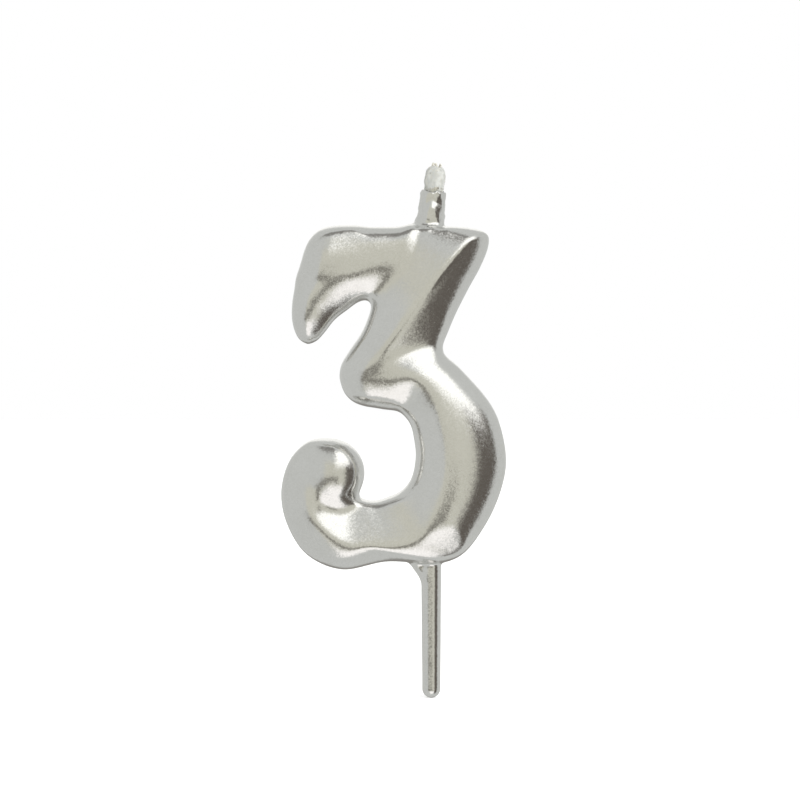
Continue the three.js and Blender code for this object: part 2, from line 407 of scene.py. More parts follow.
# x is 0 on the pick's axis, and z is 0 at the numeral's lowest point. Where no face is named, it is a ROOF.
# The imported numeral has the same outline. It has no shoulder, and its faces are plainer.
STATIONS: dict[Stroke, list[Station]] = {
    Stroke.FLAG: [
        stroke_end((-18.5, 33.5)),
        Station((-19.9, 34.5), (-18.5, 34.6), 1.9, (-17.1, 34.2)),
        Station((-20.8, 36.8), (-18.4, 36.9), 3.0, (-15.9, 35.5)),
        Station((-20.8, 40.5), (-18.0, 40.4), 3.5, (-14.4, 37.4), ROOF, DROOPING),
        Station((-19.6, 45.2), (-16.4, 42.6), 3.7, (-12.5, 38.9), ROOF, DROOPING),
        Station((-18.2, 49.3), (-14.4, 43.9), 3.8, (-11.0, 40.0), LEVEL, DROOPING),
        Station((-15.6, 51.2), (-12.0, 44.7), 3.8, (-9.8, 40.4), LEVEL, DROOPING),
        Station((-9.0, 51.4), (-8.8, 45.8), 3.7, (-8.2, 40.2), LEVEL, DROOPING),
        Station((-5.0, 51.4), (-5.4, 46.7), 3.5, (-5.9, 41.0), LEVEL, DROOPING),
        Station((-2.5, 51.4), (-3.2, 47.4), 3.2, (-4.4, 43.0), LEVEL, DROOPING),
        stroke_end((-1.0, 49.5), LEVEL, ROOF),
    ],
    Stroke.SHOULDER: [
        stroke_end((-17.4, 41.0)),
        Station((-19.7, 43.2), (-16.7, 43.2), 3.3, (-12.5, 43.2), ROOF, GENTLE),
        Station((-19.1, 45.2), (-16.3, 45.0), 3.85, (-10.5, 45.0), ROOF, GENTLE),
        Station((-18.3, 47.4), (-15.8, 46.8), 3.9, (-9.5, 46.8), ROOF, GENTLE),
        Station((-17.4, 49.4), (-15.4, 48.7), 3.5, (-9.5, 48.9), ROOF, GENTLE),
        Station((-16.2, 50.5), (-15.2, 50.0), 3.1, (-10.8, 50.7), ROOF, GENTLE),
        stroke_end((-14.8, 50.6)),
    ],
    Stroke.DIAGONAL: [
        stroke_end((7.9, 50.8)),
        Station((8.7, 50.0), (7.4, 50.2), 2.2, (6.2, 51.1), STEEP, ROOF),
        Station((8.6, 48.2), (6.0, 49.2), 3.6, (2.5, 51.4), STEEP, LEANING),
        Station((7.5, 45.4), (3.6, 46.6), 4.4, (-3.0, 51.3), STEEP, LEANING),
        Station((5.8, 42.3), (1.0, 43.5), 4.7, (-6.6, 47.5), STEEP, LEANING),
        Station((3.9, 38.6), (-2.0, 39.6), 4.8, (-8.4, 41.0), STEEP, ROOF),
        Station((2.2, 34.6), (-4.6, 36.1), 4.8, (-10.2, 36.0), STEEP, ROOF),
        Station((0.5, 31.0), (-7.2, 32.6), 4.6, (-12.3, 32.6), STEEP, ROOF),
        Station((-3.0, 28.5), (-9.4, 29.9), 4.2, (-13.4, 29.6)),
        Station((-6.0, 26.6), (-10.2, 27.6), 3.2, (-12.6, 27.2)),
        stroke_end((-9.6, 25.6)),
    ],
    Stroke.BOWL: [
        stroke_end((-13.5, 28.8)),
        Station((-12.8, 31.0), (-12.0, 28.8), 2.6, (-13.0, 26.6)),
        Station((-10.4, 32.6), (-9.6, 28.9), 3.9, (-11.5, 25.0), LEVEL, SHORT),
        Station((-4.5, 34.0), (-5.6, 29.3), 4.4, (-7.5, 24.0), ROUNDED, SHORT),
        Station((1.7, 32.3), (-2.4, 28.6), 4.7, (-4.7, 23.5), ROUNDED, ROOF),
        Station((6.0, 28.5), (0.1, 26.1), 4.9, (-3.2, 21.8), ROUNDED, ROOF),
        Station((9.8, 23.3), (1.7, 22.0), 5.1, (-2.6, 19.4), SWELLING, ROOF),
        Station((11.3, 16.5), (2.5, 16.5), 5.2, (-2.4, 16.7), SWELLING, ROOF),
        Station((10.3, 11.2), (1.9, 11.8), 5.1, (-3.1, 13.5), SWELLING, ROOF),
        Station((7.9, 6.2), (0.4, 8.0), 4.9, (-4.6, 11.8), SWELLING, ROOF),
        Station((4.7, 2.3), (-1.2, 5.2), 4.6, (-6.6, 10.9)),
        Station((1.5, 1.0), (-4.2, 4.0), 4.4, (-8.4, 10.4), SHORT, ROOF),
        Station((-6.5, 1.2), (-8.4, 3.6), 4.3, (-10.4, 10.6), SHORT, ROOF),
        Station((-13.5, 0.0), (-12.3, 4.0), 4.3, (-11.5, 11.0), SHORT, DISHED),
        Station((-18.7, 2.3), (-15.3, 5.5), 4.3, (-12.5, 11.5), ROOF, DISHED),
        Station((-21.7, 7.0), (-17.6, 8.4), 4.2, (-13.5, 12.2), ROOF, DISHED),
        Station((-22.5, 12.0), (-18.2, 11.9), 3.8, (-14.2, 13.2), ROOF, LEVEL),
        Station((-20.8, 17.0), (-17.4, 15.0), 3.1, (-14.6, 14.4), ROOF, LEVEL),
        Station((-17.4, 19.3), (-16.2, 16.8), 2.4, (-14.8, 15.2), ROOF, LEVEL),
        stroke_end((-14.6, 17.4)),
    ],
}


SMALLEST_GAP = 1e-4


class Rail:
    """A centripetal curve through points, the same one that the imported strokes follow."""

    def __init__(self, points: list[tuple[float, ...]]) -> None:
        """Hold the points, with one more at each end in line with the first two and the last two.

        Args:
            points: the points to pass through.
        """
        inner = [Vector(point) for point in points]
        self.points = [2 * inner[0] - inner[1], *inner, 2 * inner[-1] - inner[-2]]

    def at(self, share: float) -> Vector:
        """Find a point on the curve.

        Args:
            share: how far along, from 0 to 1, with each span taking the same share.

        Returns:
            The point.
        """
        spans = len(self.points) - 3
        span = min(int(share * spans), spans - 1)
        t = share * spans - span
        before, start, end, after = self.points[span : span + 4]
        pairs = ((before, start), (start, end), (end, after))
        gaps = [(b - a).length_squared ** 0.25 for a, b in pairs]
        middle = gaps[1] if gaps[1] > SMALLEST_GAP else 1.0
        first = gaps[0] if gaps[0] > SMALLEST_GAP else middle
        last = gaps[2] if gaps[2] > SMALLEST_GAP else middle
        leave = (start - before) / first - (end - before) / (first + middle) + (end - start) / middle
        arrive = (end - start) / middle - (after - start) / (middle + last) + (after - end) / last
        leave, arrive = leave * middle, arrive * middle
        square = -3 * start + 3 * end - 2 * leave - arrive
        cube = 2 * start - 2 * end + leave + arrive
        return start + leave * t + square * t**2 + cube * t**3


@dataclass
class Drawing:
    """The figure's strokes as flat ribbons that carry the wax's height and the way in from the edge."""

    crest_round: float = 0.28
    steps_per_station: int = 12
    steps_across: int = 48

    def width(self) -> float:
        """Return the drawn figure's width over its outline."""
        across = [x for stations in STATIONS.values() for s in stations for x in (s.left[0], s.right[0])]
        return max(across) - min(across)

    def height(self, rise: float, share: float, reach: float, face: Face) -> float:
        """Work out half the thickness on a face.

        Args:
            rise: half the thickness at the crest.
            share: how far from the crest, with 1 at the edge.
            reach: the way from crest to edge.
            face: the kind of face.

        Returns:
            The height in millimetres.
        """
        rounding = self.crest_round / max(reach, 4 * self.crest_round)
        soft = math.hypot(share, rounding) - rounding
        return rise * (1 - face.fall * soft**face.bend)

    def mesh(self) -> bpy.types.Mesh:
        """Build the ribbons of all strokes.

        Returns:
            A flat mesh in drawn millimetres. Its points hold "height" and "inset", its faces hold "stroke".
        """
        points: list[Vector] = []
        heights: list[float] = []
        insets: list[float] = []
        faces: list[tuple[int, ...]] = []
        strokes: list[int] = []
        for stroke, stations in STATIONS.items():
            left = Rail([s.left for s in stations])
            right = Rail([s.right for s in stations])
            crest = Rail([(s.crest[0], s.crest[1], s.rise) for s in stations])
            left_face = Rail([astuple(s.left_face) for s in stations])
            right_face = Rail([astuple(s.right_face) for s in stations])
            rows = (len(stations) - 1) * self.steps_per_station
            row_length = self.steps_across + 1
            for row in range(rows + 1):
                along = row / rows
                top = crest.at(along)
                for column in range(row_length):
                    across = 2 * column / self.steps_across - 1
                    edge = (left if across > 0 else right).at(along)
                    face = Face(*(left_face if across > 0 else right_face).at(along))
                    reach = (edge - top.to_2d()).length
                    place = top.to_2d().lerp(edge, abs(across))
                    points.append(Vector((place.x, 0, place.y)))
                    heights.append(self.height(max(top.z, 0.0), abs(across), reach, face))
                    insets.append(reach * (1 - abs(across)) / face.broad)
                    if row and column:
                        corner = len(points) - 1
                        faces.append((corner, corner - 1, corner - row_length - 1, corner - row_length))
                        strokes.append(stroke.value)
        mesh = bpy.data.meshes.new("ribbons")
        mesh.from_pydata(points, [], faces)
        mesh.attributes.new("height", "FLOAT", "POINT").data.foreach_set("value", heights)
        mesh.attributes.new("inset", "FLOAT", "POINT").data.foreach_set("value", insets)
        mesh.attributes.new("stroke", "INT", "FACE").data.foreach_set("value", strokes)
        return mesh


# ---------------------------------------------------------------- the dipped form


UP: Place = (0, 0, 1)


@dataclass(frozen=True)
class Peg:
    """A round bar with round ends, in drawn millimetres. Low and high are measured from the foot."""

    foot: Place
    along: Place
    low: float
    high: float
    radius: float
    taper: float = 0.0


@dataclass(frozen=True)
class DippedForm:
    """Sizes and places of the dipped candle, in drawn millimetres."""

    # The ball at the figure's lower end: its outline, and the dome on it.
    ball: Place = (-15.2, 0.0, 14.5)
    ball_radius: float = 5.2
    ball_top: Place = (-14.5, 0.0, 14.4)
    ball_rise: float = 4.85
    ball_curve: float = 7.2
    ball_narrow: float = 1.25
    # The round wall at the figure's edge, and what a squared thickness is divided by to give a depth.
    wall_width: float = 4.6
    wall_height: float = 5.4
    steepness: float = 9.0
    # The stub, the dipped pick and the webs of silver at their feet.
    numeral_top: float = 51.5
    stub_lean: float = math.radians(6.5)
    stub_x: float = -0.25
    stub_radius: float = 2.14
    pick_radius: float = 1.48
    stub_web: Peg = Peg((-2.3, 0, 50.6), (0.66, 0, 0.75), -0.4, 1.4, 1.05)
    pick_web: Peg = Peg((-2.0, 0, 0.9), (0.55, 0, -0.84), -0.6, 2.0, 1.0, 0.05)
    # The wax of the stub, and the room for the wick, the pick and the stub in the casting.
    stub_core: float = 1.46
    stub_tip: float = 1.6
    wick_room: float = 0.95
    wick_foot: float = 14.4
    wick_end: float = 14.0
    socket: Peg = Peg((0, 0, 0), UP, -8, 11.2, 1.2)
    seat_radius: float = 1.6
    # The lumps at the stub's foot: where they fade in upwards and out sideways. Then the grain of the
    # lumps, and of the film's ragged edge.
    lumps_up: Point = (-1.6, 0.2)
    lumps_aside: Point = (2.4, 3.4)
    lump_scale: float = 0.7
    ragged_scale: float = 0.95

    def stub_axis(self) -> Vector:
        """Return the direction in which the stub leans."""
        return Vector((math.sin(self.stub_lean), 0, math.cos(self.stub_lean)))

    def stub_foot(self) -> Vector:
        """Return the point where the stub's axis leaves the numeral."""
        return Vector((self.stub_x, 0, self.numeral_top))

    def dipped_pegs(self, pick_end: float) -> list[Peg]:
        """List the bars that the dip joins to the numeral: the stub, the pick and the webs at their feet.

        Args:
            pick_end: z of the dipped pick's lower end.

        Returns:
            The bars, in the order in which they join.
        """
        stub = self.on_stub(-2.5, 9.0, self.stub_radius, 0.045)
        pick = Peg((0, 0, 0), UP, pick_end + self.pick_radius, 3.0, self.pick_radius, -0.007)
        return [stub, self.stub_web, pick, self.pick_web]

    def on_stub(self, low: float, high: float, radius: float, taper: float = 0.0) -> Peg:
        """Return a bar on the stub's axis, with its ends measured up from the numeral."""
        return Peg(tuple(self.stub_foot()), tuple(self.stub_axis()), low, high, radius, taper)

    def wick_channel(self) -> list[Peg]:
        """List the bars that leave room for the plait, in the numeral and in the stub."""
        upright = Peg((self.stub_x, 0, 0), UP, self.wick_foot, self.numeral_top, self.wick_room)
        return [upright, self.on_stub(0, self.wick_end, self.wick_room)]

    def sockets(self) -> list[Peg]:
        """List the bars that leave room for the pick, the wick and the stub in the numeral."""
        return [self.socket, *self.wick_channel(), self.on_stub(-0.4, 6.0, self.seat_radius)]

    def stub_pegs(self) -> list[Peg]:
        """List the bars of the stub: the part under the film and the fuller bare tip."""
        return [self.on_stub(-0.3, 7.4, self.stub_core), self.on_stub(6.9, 7.8, self.stub_tip, 0.02)]


def peg_tree() -> bpy.types.NodeTree:
    """Build the tree that tells how deep a place lies in a peg."""
    sizes = {"Place": "Vector", "Foot": "Vector", "Along": "Vector"}
    sizes |= {"Low": "Float", "High": "Float", "Radius": "Float", "Taper": "Float"}
    graph, given = geometry_tree("peg_depth", sizes, {"Depth": "Float"})
    reach = graph.vector("SUBTRACT", given["Place"], given["Foot"])
    height = graph.dot(reach, given["Along"]).clamped(given["Low"], given["High"])
    side = graph.vector("SUBTRACT", reach, graph.scaled(given["Along"], height))
    depth = given["Radius"] - given["Taper"] * height - graph.length(side)
    return finish_tree(graph, {"Depth": depth})


def sheet_tree(form: DippedForm) -> bpy.types.NodeTree:
    """Build the tree that spreads the strokes' fullness over one even sheet, with soft creases between.

    Args:
        form: the sizes of the dipped form.

    Returns:
        The tree, which gives a flat sheet whose points hold "fullness".
    """
    sizes = {"Ribbons": "Geometry", "Low": "Vector", "High": "Vector", "Step": "Float"}
    sizes |= {"Crease": "Float", "Notch": "Float", "Rim": "Float", "Softening": "Int"}
    graph, given = geometry_tree("fullness_sheet", sizes, {"Sheet": "Geometry"})
    low, high = graph.split(given["Low"]), graph.split(given["High"])
    width, height = high[0] - low[0], high[2] - low[2]
    grid_inputs = {"Size X": width, "Size Y": height}
    grid_inputs |= {"Vertices X": width / given["Step"], "Vertices Y": height / given["Step"]}
    grid = graph.wire("GeometryNodeMeshGrid", grid_inputs)
    flat = graph.split(graph.wire("GeometryNodeInputPosition"))
    place = graph.join(flat[0] + (low[0] + high[0]) * 0.5, 0.0, flat[1] + (low[2] + high[2]) * 0.5)
    sheet = graph.wire("GeometryNodeSetPosition", {"Geometry": grid, "Position": place})

    stroke = graph.attribute("stroke", "INT")
    place = graph.wire("GeometryNodeInputPosition")
    away = graph.vector("DISTANCE", place, form.ball, out="Value")
    from_top = graph.vector("SUBTRACT", place, form.ball_top)
    from_top = graph.length(graph.vector("MULTIPLY", from_top, (form.ball_narrow, 0, 1)))
    fields = {
        "height": form.ball_rise - from_top * from_top * (0.5 / form.ball_curve),
        "inset": form.ball_radius - away,
    }
    for name, joint in (("height", "Crease"), ("inset", "Notch")):
        carried = graph.attribute(name)
        for member in Stroke:
            own = {"Group ID": stroke, "Sample Group ID": member.value}
            value = graph.nearest(given["Ribbons"], carried, place, **own)
            spot = graph.nearest(given["Ribbons"], place, place, "FLOAT_VECTOR", **own)
            gap = graph.vector("DISTANCE", place, spot, out="Value")
            fields[name] = graph.math("SMOOTH_MAX", fields[name], value - gap, given[joint])
    share = fields["inset"] / form.wall_width
    kept = graph.math("MINIMUM", share, 1.0)
    wall = kept * (2.0 - kept) * form.wall_height**2
    height = graph.math("MAXIMUM", fields["height"], 0.0)
    total = graph.math("SMOOTH_MIN", height * height, wall, given["Rim"])
    blurred = graph.blurred(total, given["Softening"])
    return finish_tree(graph, {"Sheet": graph.marked(sheet, "fullness", blurred, "POINT")})


FIELD = {"Fillet": "Float", "Waviness": "Float", "Wave scale": "Float", "Lumps": "Float"}
FIELD |= {"Film edge": "Float", "Ragged": "Float"}

# In drawn millimetres: the depth where nothing is, and how far an edge and a socket's mouth are rounded.
FAR_OUTSIDE = -4.0
EDGE_SOFTNESS = 0.1
SOCKET_SOFTNESS = 0.15


def depth_tree(
    name: str, form: DippedForm, joined: list[Peg], cut: list[Peg], figure: bool
) -> bpy.types.NodeTree:
    """Build the tree that tells how deep a place lies under a surface.

    Args:
        name: the tree's name.
        form: the sizes of the dipped form.
        joined: bars that belong to the solid.
        cut: bars that are left out of it.
        figure: whether the numeral belongs to the solid.

    Returns:
        The tree.
    """
    graph, given = geometry_tree(name, {"Sheet": "Geometry", "Place": "Vector"} | FIELD, {"Depth": "Float"})
    place = given["Place"]
    x, y, z = graph.split(place)
    pegs = peg_tree()

    def inside(peg: Peg) -> Wire:
        """Return how deep a place lies in a bar."""
        sizes = {"Place": place, "Foot": peg.foot, "Along": peg.along}
        sizes |= {"Low": peg.low, "High": peg.high, "Radius": peg.radius, "Taper": peg.taper}
        return graph.group(pegs, sizes)

    depth: Any = FAR_OUTSIDE
    if figure:
        full = graph.nearest(given["Sheet"], graph.attribute("fullness"), graph.join(x, 0.0, z))
        depth = (full - y * y) * (1 / form.steepness)
    for peg in joined:
        depth = graph.math("SMOOTH_MAX", depth, inside(peg), given["Fillet"])
    slow = graph.noise(place, given["Wave scale"], 1.0)
    depth = depth + (slow - 0.5) * given["Waviness"]
    reach = graph.vector("SUBTRACT", place, tuple(form.stub_foot()))
    height = graph.dot(reach, tuple(form.stub_axis()))
    aside = graph.math("ABSOLUTE", graph.split(reach)[0])
    near = height.mapped(*form.lumps_up, 0.0, 1.0) * aside.mapped(*form.lumps_aside, 1.0, 0.0)
    depth = depth + (graph.noise(place, form.lump_scale, 1.5) - 0.5) * near * given["Lumps"]
    ragged = graph.noise(place, form.ragged_scale, 3.0)
    under_edge = given["Film edge"] + (ragged - 0.5) * given["Ragged"] - height
    depth = graph.math("SMOOTH_MIN", depth, under_edge, EDGE_SOFTNESS)
    for peg in cut:
        depth = graph.math("SMOOTH_MIN", depth, inside(peg) * -1.0, SOCKET_SOFTNESS)
    return finish_tree(graph, {"Depth": depth})


# How far apart the depth is felt to find its slope, the least slope to trust, and the longest step.
PROBE = 0.06
FLATTEST = 0.02
STRIDE = 0.4


def settle_tree(depth: bpy.types.NodeTree) -> bpy.types.NodeTree:
    """Build the tree that moves a mesh's points onto the place where they lie at one depth.

    Args:
        depth: the tree that gives the depth.

    Returns:
        The tree, which makes one step of Newton's method along the slope of the depth.
    """
    sizes = {"Mesh": "Geometry", "Sheet": "Geometry", "Inset": "Float"}
    graph, given = geometry_tree("settle", sizes | FIELD, {"Mesh": "Geometry"})
    place = graph.wire("GeometryNodeInputPosition")
    shared = {label: given[label] for label in ("Sheet", *FIELD)}

    def depth_at(offset: Place) -> Wire:
        """Return the depth at a step away from each point."""
        return graph.group(depth, shared | {"Place": graph.vector("ADD", place, offset)})

    here = depth_at((0, 0, 0)) - given["Inset"]
    steps = [tuple(PROBE if i == axis else 0.0 for i in range(3)) for axis in range(3)]
    slope = graph.join(*[
        (depth_at(step) - depth_at(tuple(-value for value in step))) / (2 * PROBE) for step in steps
    ])
    steep = graph.math("MAXIMUM", graph.dot(slope, slope), FLATTEST)
    step = (here / steep).clamped(-STRIDE, STRIDE)
    moved = {"Geometry": given["Mesh"], "Offset": graph.scaled(slope, step * -1.0)}
    return finish_tree(graph, {"Mesh": graph.wire("GeometryNodeSetPosition", moved)})


def skin_tree(depth: bpy.types.NodeTree) -> bpy.types.NodeTree:
    """Build the tree that gives the closed surface at one depth of the dipped form.

    Args:
        depth: the tree that gives the depth.

    Returns:
        The tree.
    """
    sizes = {"Sheet": "Geometry", "Low": "Vector", "High": "Vector", "Voxel": "Float", "Inset": "Float"}
    graph, given = geometry_tree("skin_at_depth", sizes | FIELD, {"Mesh": "Geometry"})
    shared = {label: given[label] for label in ("Sheet", *FIELD)}
    place = graph.wire("GeometryNodeInputPosition")
    density = graph.group(depth, shared | {"Place": place}) - given["Inset"]
    span = graph.split(graph.vector("SUBTRACT", given["High"], given["Low"]))
    cube = {"Density": density, "Background": -1.0, "Min": given["Low"], "Max": given["High"]}
    cube |= {f"Resolution {axis}": side / given["Voxel"] for axis, side in zip("XYZ", span)}
    volume = graph.wire("GeometryNodeVolumeCube", cube)
    surface = {"Volume": volume, "Threshold": 0.0}
    mesh = graph.wire("GeometryNodeVolumeToMesh", surface, resolution_mode="GRID")
    settle = settle_tree(depth)
    for relaxing in (2, 2, 1, 0):
        mesh = graph.group(settle, shared | {"Mesh": mesh, "Inset": given["Inset"]})
        if relaxing:
            evened = graph.blurred(place, relaxing, "FLOAT_VECTOR")
            mesh = graph.wire("GeometryNodeSetPosition", {"Geometry": mesh, "Position": evened})
    return finish_tree(graph, {"Mesh": mesh})


SHEET = {"Sheet step": "Float", "Crease": "Float", "Notch": "Float", "Rim": "Float", "Softening": "Int"}
SPACE = {"Low": "Vector", "High": "Vector", "Unit": "Float", "Material": "Material"}


def numeral_sheet(graph: Graph, given: dict[str, Wire], form: DippedForm) -> Wire:
    """Spread the strokes' fullness over a sheet, from a tree's own inputs.

    Args:
        graph: the piece's graph.
        given: its inputs.
        form: the sizes of the dipped form.

    Returns:
        The sheet.
    """
    labels = ("Ribbons", "Low", "High", "Crease", "Notch", "Rim", "Softening")
    inputs = {label: given[label] for label in labels}
    return graph.group(sheet_tree(form), inputs | {"Step": given["Sheet step"]})


def finish_piece(graph: Graph, given: dict[str, Wire], made: Any) -> bpy.types.NodeTree:
    """End a piece's tree: bring it to metres, realize it, smooth it and give it its material.

    Args:
        graph: the piece's graph.
        given: its inputs.
        made: the mesh in drawn millimetres.

    Returns:
        The tree.
    """
    scale = graph.join(given["Unit"], given["Unit"], given["Unit"])
    made = graph.wire("GeometryNodeTransform", {"Geometry": made, "Scale": scale})
    made = graph.wire("GeometryNodeRealizeInstances", {0: made})
    made = graph.wire("GeometryNodeSetShadeSmooth", {"Geometry": made})
    made = graph.wire("GeometryNodeSetMaterial", {"Geometry": made, "Material": given["Material"]})
    return finish_tree(graph, {"Piece": made})


# The space inside the film runs on this far past its edge, so that the film is open round the stub.
PAST_THE_EDGE = 4.0


def film_tree(form: DippedForm, pick_end: float) -> bpy.types.NodeTree:
    """Build the tree of the whole film: the dipped surface, less the space inside it.

    Args:
        form: the sizes of the dipped form.
        pick_end: z of the dipped pick's lower end.

    Returns:
        The tree, which takes the strokes' ribbons and gives the film in metres.
    """
    sizes = {"Ribbons": "Geometry", "Voxel": "Float", "Inner voxel": "Float", "Film": "Float"}
    graph, given = geometry_tree("dipped_film", sizes | SHEET | SPACE | FIELD, {"Piece": "Geometry"})
    skin = skin_tree(depth_tree("dip_depth", form, form.dipped_pegs(pick_end), [], figure=True))
    shared = {label: given[label] for label in ("Low", "High", *FIELD)}
    shared["Sheet"] = numeral_sheet(graph, given, form)
    outside = {"Voxel": given["Voxel"], "Inset": 0.0}
    inside = {"Voxel": given["Inner voxel"], "Inset": given["Film"]}
    inside["Film edge"] = given["Film edge"] + PAST_THE_EDGE
    cut = graph.add("GeometryNodeMeshBoolean", operation="DIFFERENCE", solver="MANIFOLD")
    graph.feed(cut.inputs["Mesh 1"], graph.group(skin, shared | outside))
    graph.feed(cut.inputs["Mesh 2"], graph.group(skin, shared | inside))
    return finish_piece(graph, given, cut.outputs["Mesh"])


def numeral_tree(form: DippedForm) -> bpy.types.NodeTree:
    """Build the tree of the moulded numeral: the space under the film, less its sockets.

    Args:
        form: the sizes of the dipped form.

    Returns:
        The tree, which takes the strokes' ribbons and gives the numeral in metres.
    """
    sizes = {"Ribbons": "Geometry", "Voxel": "Float", "Inset": "Float"}
    graph, given = geometry_tree("moulded_numeral", sizes | SHEET | SPACE | FIELD, {"Piece": "Geometry"})
    skin = skin_tree(depth_tree("casting_depth", form, [], form.sockets(), figure=True))
    inputs = {label: given[label] for label in ("Low", "High", "Voxel", "Inset", *FIELD)}
    inputs["Sheet"] = numeral_sheet(graph, given, form)
    return finish_piece(graph, given, graph.group(skin, inputs))


def stub_tree(form: DippedForm) -> bpy.types.NodeTree:
    """Build the tree of the stub of priming wax, with a channel for the wick.

    Args:
        form: the sizes of the dipped form.

    Returns:
        The tree, which gives the stub in metres.
    """
    sizes = {"Voxel": "Float"} | SPACE | FIELD
    graph, given = geometry_tree("priming_wax_stub", sizes, {"Piece": "Geometry"})
    skin = skin_tree(depth_tree("stub_depth", form, form.stub_pegs(), form.wick_channel(), figure=False))
    inputs = {label: given[label] for label in ("Low", "High", "Voxel", *FIELD)}
    return finish_piece(graph, given, graph.group(skin, inputs))


def yarn_tree() -> bpy.types.NodeTree:
    """Build the tree of one strand: plies that wind round the strand's line."""
    sizes = {"Line": "Geometry", "Plies": "Int", "Ply radius": "Float", "Lay radius": "Float"}
    sizes |= {"Lay": "Float", "Unit": "Float", "Material": "Material"}
    graph, given = geometry_tree("twisted_yarn", sizes, {"Piece": "Geometry"})
    line = graph.wire("GeometryNodeMeshToCurve", {0: given["Line"]})
    one = graph.wire("GeometryNodeMeshLine", {"Count": given["Plies"], "Offset": (0, 0, 0)})
    plies = graph.add("GeometryNodeInstanceOnPoints", {"Points": one, "Instance": line})
    number = graph.wire("GeometryNodeInputIndex")
    numbered = graph.marked(plies.outputs[0], "ply", number, "INSTANCE")
    lines = graph.wire("GeometryNodeRealizeInstances", {0: numbered})
    ply = graph.attribute("ply")
    along = graph.wire("GeometryNodeSplineParameter", out="Length")
    turn = (along / given["Lay"] + ply / given["Plies"]) * (2 * math.pi)
    normal = graph.wire("GeometryNodeInputNormal")
    side = graph.vector("CROSS_PRODUCT", graph.wire("GeometryNodeInputTangent"), normal)
    across = graph.scaled(normal, graph.math("COSINE", turn))
    way = graph.vector("ADD", across, graph.scaled(side, graph.math("SINE", turn)))
    wound = {"Geometry": lines, "Offset": graph.scaled(way, given["Lay radius"])}
    wound = graph.wire("GeometryNodeSetPosition", wound)
    section = {"Resolution": 6, "Radius": given["Ply radius"]}
    section = graph.wire("GeometryNodeCurvePrimitiveCircle", section)
    made = {"Curve": wound, "Profile Curve": section, "Fill Caps": True}
    return finish_piece(graph, given, graph.wire("GeometryNodeCurveToMesh", made))


# ---------------------------------------------------------------- finishes


def new_material(name: str) -> tuple[bpy.types.Material, Graph, bpy.types.Node]:
    """Make a material with an empty tree but for its shader and output.

    Args:
        name: the material's name.

    Returns:
        The material, its graph and its Principled shader.
    """
    material = bpy.data.materials.new(name)
    material.use_nodes = True
    material.node_tree.nodes.clear()
    graph = Graph(material.node_tree)
    shader = graph.add("ShaderNodeBsdfPrincipled")
    graph.add("ShaderNodeOutputMaterial", {"Surface": shader.outputs[0]})
    return material, graph, shader


def in_millimetres(graph: Graph) -> Wire:
    """Return the place on the object in millimetres."""
    place = graph.wire("ShaderNodeTexCoord", out="Object")
    return graph.scaled(place, 1 / MM)


def blend(graph: Graph, share: Any, low: Any, high: Any) -> Wire:
    """Mix two colours.

    Args:
        graph: the material's or the world's graph.
        share: the share of the second colour.
        low: the first colour, or its wire.
        high: the second colour, or its wire.

    Returns:
        The mixed colour.
    """
    colours = [value if isinstance(value, Wire) else (*value, 1) for value in (low, high)]
    inputs = {"Factor_Float": share, "A_Color": colours[0], "B_Color": colours[1]}
    node = graph.add("ShaderNodeMix", inputs, data_type="RGBA")
    return Wire(graph, next(out for out in node.outputs if out.identifier == "Result_Color"))


def bump(graph: Graph, height: Wire, strength: float) -> Wire:
    """Return the normal of a surface that rises by a height in metres."""
    return graph.wire("ShaderNodeBump", {"Height": height, "Distance": 1.0, "Strength": strength})


def soften(shader: bpy.types.Node, weight: float, reach: float) -> None:
    """Let light into the surface, as wax does, as far as a reach in metres."""
    shader.inputs["Subsurface Weight"].default_value = weight
    shader.inputs["Subsurface Scale"].default_value = reach


@dataclass(frozen=True)
class SilverFinish:
    """Wax lacquer full of fine aluminium flake: bright, a little warm, and grainy close up."""

    bright: Colour = (0.8, 0.797, 0.785)
    dull: Colour = (0.7, 0.695, 0.672)
    roughness: float = 0.17
    flake_size: float = 0.16
    flake_tilt: float = 0.06
    ripple_size: float = 1.7
    ripple_height: float = 0.012

    def material(self) -> bpy.types.Material:
        """Build the material.

        Returns:
            The silver material.
        """
        material, graph, shader = new_material("flaked_silver_dip")
        place = in_millimetres(graph)
        flakes = graph.add("ShaderNodeTexVoronoi", {"Vector": place, "Scale": 1 / self.flake_size})
        flake = graph.split(Wire(graph, flakes.outputs["Color"]))
        cloud = graph.noise(place, 0.35, 3.0)
        fine = graph.noise(place, 3.5, 2.0)
        share = (cloud * 0.55 + fine * 0.25 + flake[0] * 0.35 - 0.1).clamped(0.0, 1.0)
        graph.feed(shader.inputs["Base Color"], blend(graph, share, self.dull, self.bright))
        shader.inputs["Metallic"].default_value = 1.0
        rough = self.roughness + (fine - 0.5) * 0.12 + (flake[1] - 0.5) * 0.16
        graph.feed(shader.inputs["Roughness"], rough.clamped(0.08, 0.6))
        ripple = graph.noise(place, 1 / self.ripple_size, 2.0)
        waved = bump(graph, ripple * self.ripple_height * MM, 1.0)
        tilt = graph.vector("SUBTRACT", Wire(graph, flakes.outputs["Color"]), (0.5, 0.5, 0.5))
        normal = graph.vector("NORMALIZE", graph.vector("ADD", waved, graph.scaled(tilt, self.flake_tilt)))
        graph.feed(shader.inputs["Normal"], normal)
        return material


